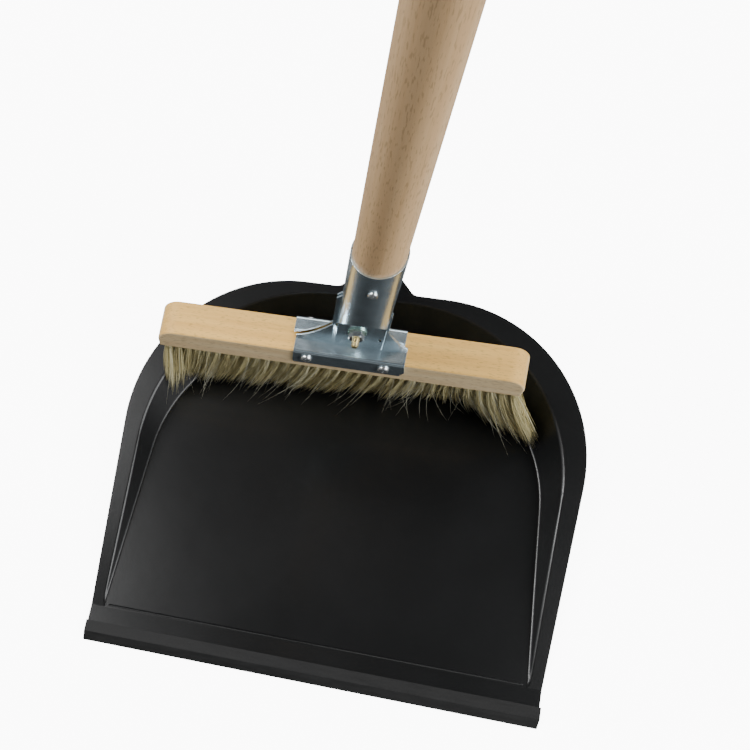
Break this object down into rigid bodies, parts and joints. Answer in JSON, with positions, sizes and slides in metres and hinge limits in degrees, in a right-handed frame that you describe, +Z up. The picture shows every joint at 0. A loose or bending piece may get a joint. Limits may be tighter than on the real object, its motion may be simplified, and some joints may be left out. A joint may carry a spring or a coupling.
{
  "type": "long-handled dustpan and brush",
  "caption": "Sheet-steel dustpan with rubber lip and upright wooden handle, with a bristle hand brush on its own upright handle standing in it and held by a clip.",
  "frame": {"origin": "on the ground, middle of the underside of the pan floor", "axes": "+X across the pan, +Y from the rubber lip to the rear, +Z up along the handles"},
  "size_m": [0.2732, 0.254, 0.82],
  "materials": {
    "black_coat": "satin black powder coat",
    "lip_rubber": "matt black rubber",
    "beech_block": "bare sanded beech",
    "beech_handle": "bare turned beech",
    "natural_bristle": "natural bristle",
    "bright_zinc": "bright zinc plate",
    "zinc_screws": "bright zinc plate",
    "yellow_zinc": "yellow passivated zinc plate",
    "black_plastic": "moulded black plastic"
  },
  "bodies": {
    "pan": {"pan_body": "black_coat", "rubber_lip": "lip_rubber", "pan_socket": "black_coat", "pan_socket_screw": "zinc_screws", "pan_socket_washer": "zinc_screws", "pan_handle": "beech_handle", "pan_handle_screw": "zinc_screws", "handle_clip": "black_plastic", "handle_clip_screw": "zinc_screws"},
    "brush": {"brush_block": "beech_block", "bracket_front": "bright_zinc", "bracket_rear": "bright_zinc", "flap_screws_front": "zinc_screws", "flap_screws_rear": "zinc_screws", "brush_handle": "beech_handle", "brush_handle_screw": "zinc_screws", "clamp_bolt": "yellow_zinc", "clamp_washer": "zinc_screws", "clamp_nut": "zinc_screws", "bristle_row_1": "natural_bristle", "bristle_row_2": "natural_bristle", "bristle_row_3": "natural_bristle", "bristle_row_4": "natural_bristle"}
  },
  "joints": [
    {"name": "brush_lift", "type": "slide", "parent": "pan", "child": "brush", "axis": [0, 0, 1], "range_m": [0, 0.45]}
  ]
}
